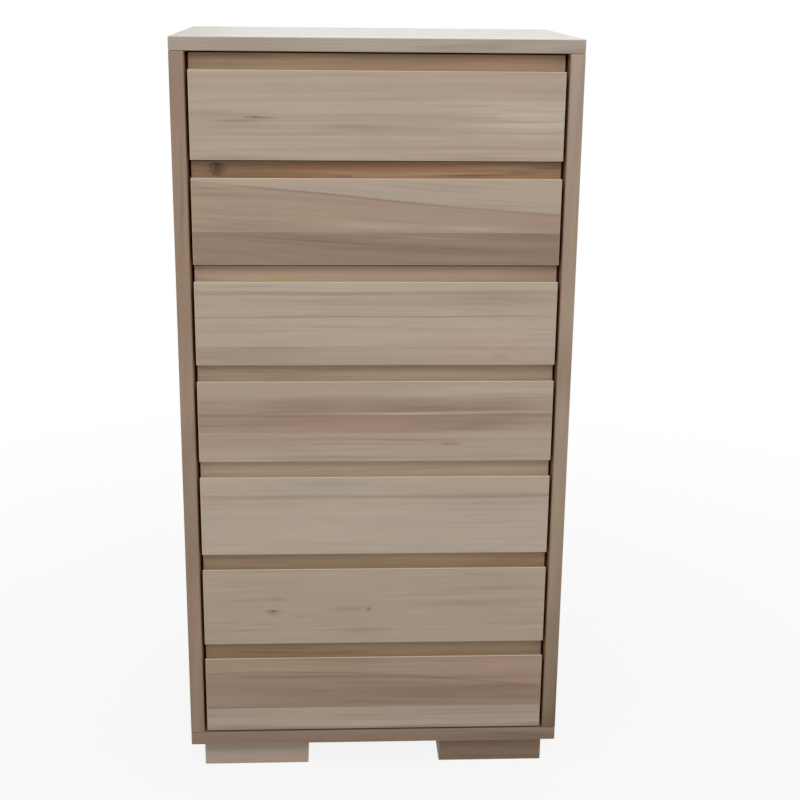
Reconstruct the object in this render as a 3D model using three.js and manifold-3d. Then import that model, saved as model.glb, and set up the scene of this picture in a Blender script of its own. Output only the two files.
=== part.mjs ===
// A semainier: a tall, narrow chest of seven drawers in plain unfinished hardwood.
// Millimetres, +X to the right, +Y to the back, +Z up.
// The origin is on the floor, at the middle of the chest's plan.
import * as THREE from "three";
import { mergeVertices } from "three/addons/utils/BufferGeometryUtils.js";
import Module from "manifold-3d";

const wasm = await Module();
wasm.setup();

// Carcase boards
const caseWidth = 600;
const caseDepth = 400;
const topThickness = 20;
const bottomThickness = 22;
const sideThickness = 22;
const arris = 0.8;

// Tongues on the ends of the sides, stopped short of the front and back edges
const tongueThickness = 8;
const tongueLength = 8;
const tongueStop = 30;

// Back panel, let into a rebate in all four boards
const backThickness = 8;
const backLap = 10;

// Feet, solid blocks set in from the edges of the case
const footWidth = 171;
const footDepth = 100;
const footHeight = 48;
const footInset = 20;

// Drawer fronts: a face board glued to a taller backing board, which shows as a strip above it
const drawerCount = 7;
const faceHeight = 129;
const faceThickness = 16;
const stripHeight = 23;
const backingThickness = 16;
const pullLand = 3;
const frontArris = 0.9;
const frontSetback = 1;
const openJoint = 3;
const sideJoint = 4.5;

// Drawer boxes, a little shallower than their fronts at the bottom and at the top
const boxLift = 8;
const boxDrop = 14;
const boxSideThickness = 15;
const boxBackThickness = 13;
const boxEdgeRadius = 3;
const boxRearSpace = 12;
const boxBottomThickness = 6;
const boxBottomRise = 9;
const boxBottomGroove = 6;

// Dovetails, lapped at the front of the box and through at its back
const tailCount = 4;
const pinRootWidth = 11.5;
const tailSlopeShare = 1 / 6;
const frontLap = 5;

// Runners on the carcase sides, and the grooves that slide on them
const runnerHeight = 16;
const runnerThickness = 11;
const runnerGrooveDepth = 8;
const runnerGrooveStop = 34;
const runnerTail = 3;

// Fits
const fit = 0.3;
const overrun = 5;

// Facets of a quarter turn on round edges and on the round ends of runners
const edgeFacets = 3;
const endFacets = 8;

// Sizes that follow
const openingWidth = caseWidth - 2 * sideThickness;
const frontHeight = faceHeight + stripHeight;
const frontThickness = faceThickness + backingThickness;
const drawerPitch = frontHeight + openJoint;
const openingHeight = drawerCount * drawerPitch + openJoint;
const openingFloor = footHeight + bottomThickness;
const drawerWidth = openingWidth - 2 * sideJoint;
const rebateDepth = backThickness + fit;
const boxEnd = caseDepth - frontSetback - rebateDepth - boxRearSpace;
const boxBackFace = boxEnd - boxBackThickness;
const boxTop = frontHeight - boxDrop;
const boxInside = drawerWidth - 2 * boxSideThickness;
const tailPitch = (boxTop - boxLift) / tailCount;
const tailRootWidth = tailPitch - pinRootWidth;
const runnerLevel = tailCentre(runnerTail);

// Colours of the timber
const faceTimber = { color: 0xa8998a, roughness: 0.62, metalness: 0 };
const caseTimber = { color: 0x998979, roughness: 0.64, metalness: 0 };
const footTimber = { color: 0x8f8272, roughness: 0.66, metalness: 0 };
const boxTimber = { color: 0xbfa684, roughness: 0.68, metalness: 0 };
const runnerTimber = { color: 0xb38f66, roughness: 0.58, metalness: 0 };
const plyTimber = { color: 0xc2a67d, roughness: 0.72, metalness: 0 };

// A closed geometry as a solid that can be joined and cut
function solidFrom(geometry) {
  const bare = geometry.clone();
  bare.deleteAttribute("normal");
  bare.deleteAttribute("uv");
  const merged = mergeVertices(bare);
  return new wasm.Manifold(
    new wasm.Mesh({
      numProp: 3,
      vertProperties: merged.attributes.position.array,
      triVerts: new Uint32Array(merged.index.array),
    }),
  );
}

// A solid back as a geometry, with each facet flat
function geometryFrom(solid) {
  const mesh = solid.getMesh();
  const indexed = new THREE.BufferGeometry();
  indexed.setAttribute("position", new THREE.BufferAttribute(mesh.vertProperties, 3));
  indexed.setIndex(new THREE.BufferAttribute(mesh.triVerts, 1));
  const geometry = indexed.toNonIndexed();
  geometry.computeVertexNormals();
  return geometry;
}

// A plain rectangular block between two corners
function block(low, high) {
  const size = new THREE.Vector3().subVectors(high, low);
  const geometry = new THREE.BoxGeometry(size.x, size.y, size.z);
  geometry.translate(low.x + size.x / 2, low.y + size.y / 2, low.z + size.z / 2);
  return solidFrom(geometry);
}

function corner(x, y, z) {
  return new THREE.Vector3(x, y, z);
}

// A rectangular board between two corners, with every arris taken off
function easedBoard(low, high, ease) {
  const outline = new THREE.Shape();
  outline.moveTo(low.x + ease, low.y);
  outline.lineTo(high.x - ease, low.y);
  outline.lineTo(high.x, low.y + ease);
  outline.lineTo(high.x, high.y - ease);
  outline.lineTo(high.x - ease, high.y);
  outline.lineTo(low.x + ease, high.y);
  outline.lineTo(low.x, high.y - ease);
  outline.lineTo(low.x, low.y + ease);
  outline.closePath();
  const geometry = new THREE.ExtrudeGeometry(outline, {
    depth: high.z - low.z - 2 * ease,
    bevelThickness: ease,
    bevelSize: ease,
    bevelOffset: -ease,
    bevelSegments: 1,
  });
  geometry.translate(0, 0, low.z + ease);
  return solidFrom(geometry);
}

// An outline drawn in depth and height, run along X from one place to another.
// Where ease is given, the arrises at both ends are taken off.
function runAlongX(outline, from, to, ease = 0, facets = edgeFacets) {
  const geometry = new THREE.ExtrudeGeometry(outline, {
    depth: to - from - 2 * ease,
    bevelEnabled: ease > 0,
    bevelThickness: ease,
    bevelSize: ease,
    bevelOffset: -ease,
    bevelSegments: 1,
    curveSegments: facets,
  });
  geometry.translate(0, 0, from + ease);
  const axes = new THREE.Matrix4().makeBasis(corner(0, 1, 0), corner(0, 0, 1), corner(1, 0, 0));
  geometry.applyMatrix4(axes);
  return solidFrom(geometry);
}

// The section of a board that stands on edge, with its two upper arrises rounded over
function roundTopSection(low, high, floor, top, radius) {
  const outline = new THREE.Shape();
  outline.moveTo(low, floor);
  outline.lineTo(high, floor);
  outline.lineTo(high, top - radius);
  outline.absarc(high - radius, top - radius, radius, 0, Math.PI / 2);
  outline.lineTo(low + radius, top);
  outline.absarc(low + radius, top - radius, radius, Math.PI / 2, Math.PI);
  outline.closePath();
  return outline;
}

// The height of a tail's centre line above the drawer front's lower edge, counted from 1 at the bottom
function tailCentre(count) {
  return boxLift + (count - 1 / 2) * tailPitch;
}

// A tail's width at a distance from its root
function tailWidth(distance) {
  return tailRootWidth + 2 * tailSlopeShare * distance;
}

// Draws the tails of one end of a drawer side on its outline.
// They are drawn upwards where direction is 1 and downwards where it is -1.
function drawTails(outline, root, tip, direction) {
  const wide = tailWidth(Math.abs(tip - root)) / 2;
  const narrow = tailRootWidth / 2;
  for (let count = 1; count <= tailCount; count += 1) {
    const centre = tailCentre(direction > 0 ? count : tailCount + 1 - count);
    outline.lineTo(root, centre - direction * narrow);
    outline.lineTo(tip, centre - direction * wide);
    outline.lineTo(tip, centre + direction * wide);
    outline.lineTo(root, centre + direction * narrow);
  }
}

// The sockets that a row of tails fills, between two places along X.
// The mouth is cut past the board's face, and each wall stands off the tail by the fit.
function tailSockets(root, tip, from, to) {
  const towardsTip = Math.sign(tip - root);
  const mouth = root - towardsTip * overrun;
  const wide = tailWidth(Math.abs(tip - root)) / 2 + fit;
  const narrow = tailWidth(-overrun) / 2 + fit;
  const sockets = [];
  for (let count = 1; count <= tailCount; count += 1) {
    const centre = tailCentre(count);
    const outline = new THREE.Shape();
    outline.moveTo(mouth, centre - narrow);
    outline.lineTo(tip, centre - wide);
    outline.lineTo(tip, centre + wide);
    outline.lineTo(mouth, centre + narrow);
    outline.closePath();
    sockets.push(runAlongX(outline, from, to));
  }
  return sockets;
}

// The bar that a runner fills and a groove makes room for: square at the back, round at the front
function runnerBar(front, rear, from, to, stand) {
  const half = runnerHeight / 2 + stand;
  const centre = front + half;
  const outline = new THREE.Shape();
  outline.moveTo(rear, runnerLevel - half);
  outline.lineTo(rear, runnerLevel + half);
  outline.lineTo(centre, runnerLevel + half);
  outline.absarc(centre, runnerLevel, half, Math.PI / 2, (3 * Math.PI) / 2);
  outline.closePath();
  return runAlongX(outline, from, to, 0, endFacets);
}

// Top or bottom board, drawn as a bottom: grooved for the side tongues and rebated for the back panel
function makeCapBoard(thickness) {
  const halfWidth = caseWidth / 2;
  const halfDepth = caseDepth / 2;
  const low = corner(-halfWidth, -halfDepth, -thickness);
  const high = corner(halfWidth, halfDepth, 0);
  const tongueMiddle = halfWidth - sideThickness / 2;
  const grooveHalf = tongueThickness / 2 + fit;
  const grooveEnd = halfDepth - tongueStop + fit;
  const grooves = [-tongueMiddle, tongueMiddle].map((middle) =>
    block(
      corner(middle - grooveHalf, -grooveEnd, -tongueLength - fit),
      corner(middle + grooveHalf, grooveEnd, overrun),
    ),
  );
  const rebateHalf = openingWidth / 2 + backLap;
  const rebate = block(
    corner(-rebateHalf, halfDepth - rebateDepth, -backLap),
    corner(rebateHalf, halfDepth + overrun, overrun),
  );
  const board = easedBoard(low, high, arris).subtract(grooves[0]);
  return geometryFrom(board.subtract(grooves[1]).subtract(rebate));
}

// Side board on the right, from the bottom board's upper face up, with a tongue at each end
function makeCaseSide() {
  const inner = openingWidth / 2;
  const halfDepth = caseDepth / 2;
  const board = easedBoard(
    corner(inner, -halfDepth, fit),
    corner(inner + sideThickness, halfDepth, openingHeight - fit),
    arris,
  );
  const middle = inner + sideThickness / 2;
  const tongues = block(
    corner(middle - tongueThickness / 2, tongueStop - halfDepth, -tongueLength),
    corner(middle + tongueThickness / 2, halfDepth - tongueStop, openingHeight + tongueLength),
  );
  const rebate = block(
    corner(inner - overrun, halfDepth - rebateDepth, -overrun),
    corner(inner + backLap, halfDepth + overrun, openingHeight + overrun),
  );
  return geometryFrom(board.add(tongues).subtract(rebate));
}

// Back panel, one sheet that laps all four boards
function makeBackPanel() {
  const halfWidth = openingWidth / 2 + backLap - fit;
  const rear = caseDepth / 2;
  return geometryFrom(
    block(
      corner(-halfWidth, rear - backThickness, fit - backLap),
      corner(halfWidth, rear, openingHeight + backLap - fit),
    ),
  );
}

// Foot, one block of timber with its grain across the front
function makeFoot() {
  return geometryFrom(
    easedBoard(
      corner(-footWidth / 2, -footDepth / 2, 0),
      corner(footWidth / 2, footDepth / 2, footHeight - fit),
      arris,
    ),
  );
}

// Runner on the right, at the level of the groove in its drawer, from the drawer front's place
function makeRunner() {
  const wall = openingWidth / 2 - fit;
  const front = frontThickness + runnerGrooveStop + fit;
  return geometryFrom(runnerBar(front, boxEnd, wall - runnerThickness, wall, 0));
}

// Drawer front: the face board and its backing, with a finger bevel behind the face's upper edge,
// sockets for the sides' tails in both ends and a groove for the bottom
function makeDrawerFront(bottomGroove) {
  const ease = frontArris;
  const outline = new THREE.Shape();
  outline.moveTo(ease, 0);
  outline.lineTo(frontThickness, 0);
  outline.lineTo(frontThickness, frontHeight - ease);
  outline.lineTo(frontThickness - ease, frontHeight);
  outline.lineTo(faceThickness + ease, frontHeight);
  outline.lineTo(faceThickness, frontHeight - ease);
  outline.lineTo(faceThickness, faceHeight - (faceThickness - pullLand));
  outline.lineTo(pullLand, faceHeight);
  outline.lineTo(ease, faceHeight);
  outline.lineTo(0, faceHeight - ease);
  outline.lineTo(0, ease);
  outline.closePath();
  const halfWidth = drawerWidth / 2;
  let front = runAlongX(outline, -halfWidth, halfWidth, ease);
  const socketDepth = faceThickness + frontLap;
  const inside = boxInside / 2 - fit;
  const outside = halfWidth + overrun;
  const sockets = [
    ...tailSockets(frontThickness, socketDepth, inside, outside),
    ...tailSockets(frontThickness, socketDepth, -outside, -inside),
  ];
  for (const socket of sockets) front = front.subtract(socket);
  return geometryFrom(front.subtract(bottomGroove));
}

// Drawer side on the right: tails at both ends, rounded upper arrises, a stopped groove outside
// for the runner and a narrower one inside for the bottom
function makeDrawerSide(bottomGroove) {
  const frontShoulder = frontThickness + fit;
  const rearShoulder = boxBackFace - fit;
  const outline = new THREE.Shape();
  outline.moveTo(rearShoulder, boxLift);
  outline.lineTo(frontShoulder, boxLift);
  drawTails(outline, frontShoulder, faceThickness + frontLap + fit, 1);
  outline.lineTo(frontShoulder, boxTop);
  outline.lineTo(rearShoulder, boxTop);
  drawTails(outline, rearShoulder, boxEnd, -1);
  outline.closePath();
  const inner = boxInside / 2;
  const outer = drawerWidth / 2;
  const board = runAlongX(outline, inner, outer);
  const section = roundTopSection(inner, outer, -overrun, boxTop, boxEdgeRadius);
  const lengthwise = new THREE.ExtrudeGeometry(section, {
    depth: boxEnd + overrun,
    bevelEnabled: false,
    curveSegments: edgeFacets,
  });
  lengthwise.rotateX(Math.PI / 2);
  lengthwise.translate(0, boxEnd + overrun, 0);
  const groove = runnerBar(
    frontThickness + runnerGrooveStop,
    boxEnd + overrun,
    outer - runnerGrooveDepth,
    outer + overrun,
    fit,
  );
  const shaped = board.intersect(solidFrom(lengthwise));
  return geometryFrom(shaped.subtract(groove).subtract(bottomGroove));
}

// Drawer back: sockets right through both ends for the sides' tails, and a groove for the bottom
function makeDrawerBack(bottomGroove) {
  const halfWidth = drawerWidth / 2;
  const section = roundTopSection(boxBackFace, boxEnd, boxLift, boxTop, boxEdgeRadius);
  let back = runAlongX(section, -halfWidth, halfWidth);
  const tip = boxEnd + overrun;
  const inside = boxInside / 2 - fit;
  const outside = halfWidth + overrun;
  const sockets = [
    ...tailSockets(boxBackFace, tip, inside, outside),
    ...tailSockets(boxBackFace, tip, -outside, -inside),
  ];
  for (const socket of sockets) back = back.subtract(socket);
  return geometryFrom(back.subtract(bottomGroove));
}

// The room for the drawer bottom, in the four boards round it, or the bottom itself.
// The bottom stands off the room's walls by the fit on every side.
function bottomRoom(stand) {
  const halfWidth = boxInside / 2 + boxBottomGroove - stand;
  const level = boxLift + boxBottomRise;
  return block(
    corner(-halfWidth, frontThickness - boxBottomGroove + stand, level + stand),
    corner(halfWidth, boxBackFace + boxBottomGroove - stand, level + boxBottomThickness + 2 * fit - stand),
  );
}

// One named piece of the chest, of its own material
function piece(name, geometry, timber, parent) {
  const mesh = new THREE.Mesh(geometry, new THREE.MeshStandardMaterial(timber));
  mesh.name = name;
  parent.add(mesh);
  return mesh;
}

// The same, turned over left to right in the middle plane of the chest
function mirroredPiece(name, geometry, timber, parent) {
  const mesh = piece(name, geometry, timber, parent);
  mesh.scale.x = -1;
  return mesh;
}

const chest = new THREE.Group();

// Carcase: two sides between a bottom and a top board, closed by the back panel
const carcase = new THREE.Group();
carcase.position.z = openingFloor;
chest.add(carcase);
piece("bottom_panel", makeCapBoard(bottomThickness), caseTimber, carcase);
const topPanel = piece("top_panel", makeCapBoard(topThickness), caseTimber, carcase);
topPanel.rotation.y = Math.PI;
topPanel.position.z = openingHeight;
const caseSide = makeCaseSide();
piece("right_side", caseSide, caseTimber, carcase);
mirroredPiece("left_side", caseSide, caseTimber, carcase);
piece("back_panel", makeBackPanel(), plyTimber, carcase);

// Feet under the four corners
const foot = makeFoot();
const footX = caseWidth / 2 - footInset - footWidth / 2;
const footY = caseDepth / 2 - footInset - footDepth / 2;
for (const [depthName, y] of [
  ["front", -footY],
  ["rear", footY],
]) {
  for (const [widthName, x] of [
    ["left", -footX],
    ["right", footX],
  ]) {
    piece(`foot_${depthName}_${widthName}`, foot, footTimber, chest).position.set(x, y, 0);
  }
}

// Drawers, counted from the top, and the pair of runners that carries each
const runner = makeRunner();
const room = bottomRoom(0);
const drawerFront = makeDrawerFront(room);
const drawerSide = makeDrawerSide(room);
const drawerBack = makeDrawerBack(room);
const drawerBottom = geometryFrom(bottomRoom(fit));
for (let count = 1; count <= drawerCount; count += 1) {
  const level = openingFloor + openJoint + (drawerCount - count) * drawerPitch;
  const place = new THREE.Vector3(0, frontSetback - caseDepth / 2, level);
  const runners = new THREE.Group();
  runners.position.copy(place);
  chest.add(runners);
  piece(`runner_${count}_right`, runner, runnerTimber, runners);
  mirroredPiece(`runner_${count}_left`, runner, runnerTimber, runners);
  const drawer = new THREE.Group();
  drawer.position.copy(place);
  chest.add(drawer);
  piece(`drawer_${count}_front`, drawerFront, faceTimber, drawer);
  piece(`drawer_${count}_right_side`, drawerSide, boxTimber, drawer);
  mirroredPiece(`drawer_${count}_left_side`, drawerSide, boxTimber, drawer);
  piece(`drawer_${count}_back`, drawerBack, boxTimber, drawer);
  piece(`drawer_${count}_bottom`, drawerBottom, plyTimber, drawer);
}

export default chest;
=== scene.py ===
import math

import bmesh
import bpy
from mathutils import Matrix, Vector


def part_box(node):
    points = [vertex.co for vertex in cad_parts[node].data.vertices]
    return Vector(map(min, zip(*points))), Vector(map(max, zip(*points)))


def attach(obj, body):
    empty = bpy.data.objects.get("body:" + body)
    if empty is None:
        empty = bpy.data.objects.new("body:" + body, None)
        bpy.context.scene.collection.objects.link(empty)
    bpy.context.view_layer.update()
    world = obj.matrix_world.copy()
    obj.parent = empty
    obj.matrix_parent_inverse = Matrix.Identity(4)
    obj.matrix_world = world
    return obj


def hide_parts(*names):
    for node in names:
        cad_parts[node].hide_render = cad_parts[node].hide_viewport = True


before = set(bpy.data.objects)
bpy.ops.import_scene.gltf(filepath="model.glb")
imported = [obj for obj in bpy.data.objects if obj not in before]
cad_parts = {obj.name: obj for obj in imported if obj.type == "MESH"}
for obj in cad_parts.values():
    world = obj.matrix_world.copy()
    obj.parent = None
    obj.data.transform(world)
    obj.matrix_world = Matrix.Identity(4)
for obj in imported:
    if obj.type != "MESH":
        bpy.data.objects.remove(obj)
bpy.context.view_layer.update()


# Bottom board: pale hardwood glued up from four staves, with its grain across the chest. It is
# planed and sanded, its arrises are taken off, and it is left bare, without oil or varnish.

mm = 1000


def shade(red, green, blue):
    """A colour as it is read off a screen, from 0 to 255, in the light that Blender works in."""
    parts = [part / 255 for part in (red, green, blue)]
    return (*[p / 12.92 if p < 0.0405 else ((p + 0.055) / 1.055) ** 2.4 for p in parts], 1.0)


class Reading:
    """What comes out of a node. Arithmetic on a number that varies adds Math nodes to its tree."""

    def __init__(self, workings, socket):
        self.workings = workings
        self.socket = socket

    def maths(self, operation, *terms):
        return self.workings.node("ShaderNodeMath", {"operation": operation}, dict(enumerate(terms)))

    def __add__(self, other):
        return self.maths("ADD", self, other)

    def __sub__(self, other):
        return self.maths("SUBTRACT", self, other)

    def __rsub__(self, other):
        return self.maths("SUBTRACT", other, self)

    def __mul__(self, other):
        return self.maths("MULTIPLY", self, other)

    def __truediv__(self, other):
        return self.maths("DIVIDE", self, other)

    def __rtruediv__(self, other):
        return self.maths("DIVIDE", other, self)

    def __pow__(self, other):
        return self.maths("POWER", self, other)

    def __rpow__(self, other):
        return self.maths("POWER", other, self)

    def __abs__(self):
        return self.maths("ABSOLUTE", self)

    def larger(self, other):
        return self.maths("MAXIMUM", self, other)

    def over(self, other):
        return self.maths("GREATER_THAN", self, other)

    def fraction(self):
        return self.maths("FRACT", self)

    def fading(self):
        """e to the power of minus this number, which is 1 at the middle of a spot and fades outwards."""
        return self.maths("EXPONENT", self * -1.0)

    __radd__ = __add__
    __rmul__ = __mul__


class Workings:
    """A tree of nodes that is put together one node at a time."""

    def __init__(self, tree):
        self.tree = tree
        self.tree.nodes.clear()

    def node(self, kind, settings, sockets, output=0):
        """A node with its settings, then its sockets' values or links. Gives one output, or several."""
        made = self.tree.nodes.new(kind)
        for key, setting in settings.items():
            setattr(made, key, setting)
        for key, given in sockets.items():
            if isinstance(given, Reading):
                self.tree.links.new(given.socket, made.inputs[key])
            else:
                made.inputs[key].default_value = given
        if isinstance(output, tuple):
            return [Reading(self, made.outputs[each]) for each in output]
        if made.outputs:
            return Reading(self, made.outputs[output])


class Finish(Workings):
    """A material, with the few nodes that its patterns are made of."""

    def __init__(self, name):
        self.material = bpy.data.materials.new(name)
        self.material.use_nodes = True
        super().__init__(self.material.node_tree)

    def measures(self, axes, start=(0, 0, 0)):
        """The place on a piece along each of its axes, in mm from its own start."""
        place = self.scaled(self.node("ShaderNodeTexCoord", {}, {}, "Object"), mm)
        parts = self.node("ShaderNodeSeparateXYZ", {}, {"Vector": place}, tuple(axes))
        return [part - origin for part, origin in zip(parts, start)]

    def facings(self, axes):
        """How squarely the surface faces along each of the axes, either way, from 0 to 1."""
        normal = self.node("ShaderNodeTexCoord", {}, {}, "Normal")
        parts = self.node("ShaderNodeSeparateXYZ", {}, {"Vector": normal}, tuple(axes))
        return [abs(part) for part in parts]

    def noise(self, x, y, z, detail=2.0):
        """Soft noise from 0 to 1 at a place that is given in the noise's own grains."""
        place = self.node("ShaderNodeCombineXYZ", {}, {"X": x, "Y": y, "Z": z})
        sockets = {"Vector": place, "Scale": 1.0, "Detail": detail}
        return self.node("ShaderNodeTexNoise", {}, sockets)

    def rise(self, reading, low, high):
        """0 below low, 1 above high, and smooth between them."""
        sockets = {"Value": reading, "From Min": low, "From Max": high}
        return self.node("ShaderNodeMapRange", {"interpolation_type": "SMOOTHSTEP"}, sockets)

    def mix(self, amount, under, over):
        """One colour over another, by an amount from 0 to 1."""
        return self.node("ShaderNodeMix", {"data_type": "RGBA"}, {0: amount, 6: under, 7: over}, 2)

    def scaled(self, vector, amount):
        """A colour or a place, made that many times as strong or as far."""
        sockets = {"Vector": vector, "Scale": amount}
        return self.node("ShaderNodeVectorMath", {"operation": "SCALE"}, sockets)

    def surface(self, colour, roughness, height, depth, metallic=0.0):
        """Ends the material with its shader. The height gives the relief, to a depth in metres."""
        relief = self.node("ShaderNodeBump", {}, {"Strength": 1.0, "Distance": depth, "Height": height})
        sockets = {"Base Color": colour, "Roughness": roughness, "Metallic": metallic, "Normal": relief}
        shader = self.node("ShaderNodeBsdfPrincipled", {}, sockets)
        self.node("ShaderNodeOutputMaterial", {}, {"Surface": shader})
        return self.material


mark_reach = 270
edge_line = 1.6
knot_tone = shade(70, 46, 24)
sawn_tone = shade(126, 92, 62)
highlight_and_wear_tone = shade(214, 197, 172)


def line_height(along, left, middle, right):
    """The height of a line that bends gently across a board, from its heights at mark_reach to the left
    of the board's middle, in its middle, and at mark_reach to the right."""
    bend = (left + right - 2 * middle) / (2 * mark_reach**2)
    return middle + along * ((right - left) / (2 * mark_reach)) + along * along * bend


def oval(sideways, upright):
    """0 in the middle of an oval mark, 1 on its edge and more outside it."""
    return sideways * sideways + upright * upright


def timber(name, axes, start, pith, tones, lean=(0.0, 0.0), ring=5.0, sway=5.0, seed=0.0, joints=(),
           edges=(), stripes=(), patches=(), knots=(), joint_dust_and_shade=(), inside=None, band=1.0, streaks=1.0,
           drift=1.0, matt=0.6, relief=0.12, sanding_and_highlight=0.5, edge_highlight=0.0):
    """Planed timber as a solid, cut from a log whose centre line, the pith, runs past the board.

    axes are the directions along, across and through the board, and start is the place that its own
    measures start from. pith is how far the log's centre is across and behind, and lean is how far
    that moves for each mm along. tones are pale, deep, warm, cool and dark wood. ring is the width of a
    year, sway how far the fibres wander, and seed picks the log. All measures are in mm. The marks of
    one board are lists, with one entry for each mark:

    joints: a glue line's height at the left and the right, how far off the next stave's pith is, and
        the tone and the amount that this stave takes
    edges: the heights of a line, its softness, the tone above it, its amount, and how dark the line is
    stripes: the heights of its middle line, half its width, its softness, its tone and amount
    patches: the middle along and across, how far it spreads along and across, its tone and amount
    knots: the middle, how far the fibres part along and across, half the core's length and height, and
        how strong the rings round it are
    meets: the measure (0 along, 1 across, 2 through) and the plane of an open joint, how far the edges
    beside it are darker, and by how much; the darkening is dust and painted shade

    inside gives the depths between which the board turns to the face that is shut in the chest, and
    the tone painted on that face for the warm light and shade within the gaps. band, streaks and drift
    are how strong the log's bands, its dark streaks and its changes of colour are. matt is its
    roughness, and relief how deep its grain stands. sanded is how much paler its arrises are, partly
    as sanding wear and partly as a painted highlight, and rubbed how much paler its long edges are, as
    a painted highlight.
    """
    finish = Finish(name)
    pale, deep, warm, cool, dark = [shade(*tone) for tone in tones]
    along, across, through = finish.measures(axes, start)
    facing_along, facing_across, facing_through = finish.facings(axes)

    # Each stave above a glue line comes from another part of the log, far off in the noise
    stave = 0.0
    other_log = 0.0
    seam = 0.0
    steps = []
    for left, right, centre_moves, tone, amount in joints:
        above = across - line_height(along, left, (left + right) / 2, right)
        step = above.over(0.0)
        stave = step + stave
        other_log = step * centre_moves + other_log
        seam = finish.rise(abs(above), 0.45, 0.12) + seam
        steps.append((step, shade(*tone), amount))
    far = along + stave * 731.0 + seed * 97.0
    odd = stave * 13.7 + seed * 5.3

    # Fibres sway a little on their way along the board, and part round a knot
    slow = finish.noise(far / 380.0, across / 150.0, through / 150.0 + odd, 1.0)
    quick = finish.noise(far / 100.0, across / 34.0, through / 60.0 + odd, 1.0)
    bent = across + (slow - 0.5) * (sway * 2.0) + (quick - 0.5) * (sway * 0.2)
    eyes = 0.0
    for knot_along, knot_across, reach, height, _, _, rings in knots:
        square = oval((along - knot_along) / reach, (across - knot_across) / height)
        near = square.fading()
        bent = bent - (across - knot_across) * near * 0.85
        curl = finish.noise(along / 10.0, across / 7.0, knot_along, 1.0)
        loop = (square**0.5 * 1.9 + (curl - 0.5) * 2.0).fraction()
        eyes = finish.rise(loop, 0.35, 0.8) * finish.rise(loop, 1.0, 0.9) * near * rings + eyes
    side = bent - pith[0] - other_log - along * lean[0]
    behind = through + pith[1] - along * lean[1] + (slow - 0.5) * sway
    radius = (side * side + behind * behind) ** 0.5

    # Growth rings, wide soft bands of the log's colour, and streaks that come and go with the fibres.
    # A noise's place is divided by the size of its grains, in mm along, across and behind the surface
    bands = finish.noise(side / 13.0, behind / 60.0 + odd, far / 1500.0, 2.0)
    year = (radius / ring + (bands - 0.5) * 5.0).fraction()
    late = finish.rise(year, 0.45, 0.92) * finish.rise(year, 1.0, 0.93)
    streak = finish.noise(far / 300.0, side / 5.6, behind / 12.0 + odd, 2.0)
    line = finish.noise(far / 700.0, side / 1.9, behind / 7.0 + odd, 2.0)
    busy = finish.rise(finish.noise(far / 240.0, side / 36.0, odd, 1.0), 0.37, 0.63) + 0.3
    fibre = finish.noise(far / 30.0, side / 0.55, behind / 0.55 + odd, 2.0)
    tint = finish.noise(far / 420.0, side / 22.0, behind / 80.0 + odd, 2.0)
    cloud = finish.noise(far / 150.0, across / 40.0, through / 46.0 + odd, 2.0)

    end = finish.rise(facing_along, 0.8, 0.97)
    colour = finish.mix(finish.rise(bands, 0.34, 0.68) * (0.75 * band), pale, deep)
    for step, tone, amount in steps:
        colour = finish.mix(step * amount, colour, tone)
    colour = finish.mix(finish.rise(tint, 0.52, 0.72) * (0.6 * drift), colour, warm)
    colour = finish.mix(finish.rise(tint, 0.47, 0.28) * (0.6 * drift), colour, cool)
    for heights, soft, tone, amount, mark in edges:
        above = bent - line_height(along, *heights)
        colour = finish.mix(finish.rise(above, -soft, soft) * amount, colour, shade(*tone))
        beside = above / edge_line
        colour = finish.mix((beside * beside).fading() * mark, colour, dark)
    for heights, half, soft, tone, amount in stripes:
        off = abs(bent - line_height(along, *heights))
        wavering = finish.rise(finish.noise(far / 190.0, heights[1], odd, 1.0), 0.3, 0.6) * 0.55 + 0.45
        colour = finish.mix(finish.rise(off, half + soft, half) * wavering * amount, colour, shade(*tone))
    for patch_along, patch_across, reach, height, tone, amount in patches:
        spread = oval((along - patch_along) / reach, (bent - patch_across) / height).fading()
        broken = finish.rise(finish.noise(far / 160.0, bent / 4.2, patch_across + odd, 2.0), 0.3, 0.62)
        colour = finish.mix(spread * (broken * 0.6 + 0.4) * amount, colour, shade(*tone))
    colour = finish.mix(finish.rise(streak, 0.46, 0.82) * busy * (0.31 * streaks), colour, dark)
    colour = finish.mix(finish.rise(line, 0.52, 0.78) * busy * (0.1 * streaks), colour, dark)
    colour = finish.mix(late * (end * 0.2 + 0.03), colour, dark)
    if knots:
        colour = finish.mix(eyes, colour, dark)
    for knot_along, knot_across, _, _, core_along, core_across, _ in knots:
        off = oval((along - knot_along) / core_along, (bent - knot_across) / core_across) ** 0.5
        colour = finish.mix(finish.rise(off, 3.6, 0.8) * 0.4, colour, dark)
        colour = finish.mix(finish.rise(off, 1.2, 0.5) * 0.65, colour, knot_tone)
    if joints:
        colour = finish.mix(seam * 0.4, colour, dark)
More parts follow.
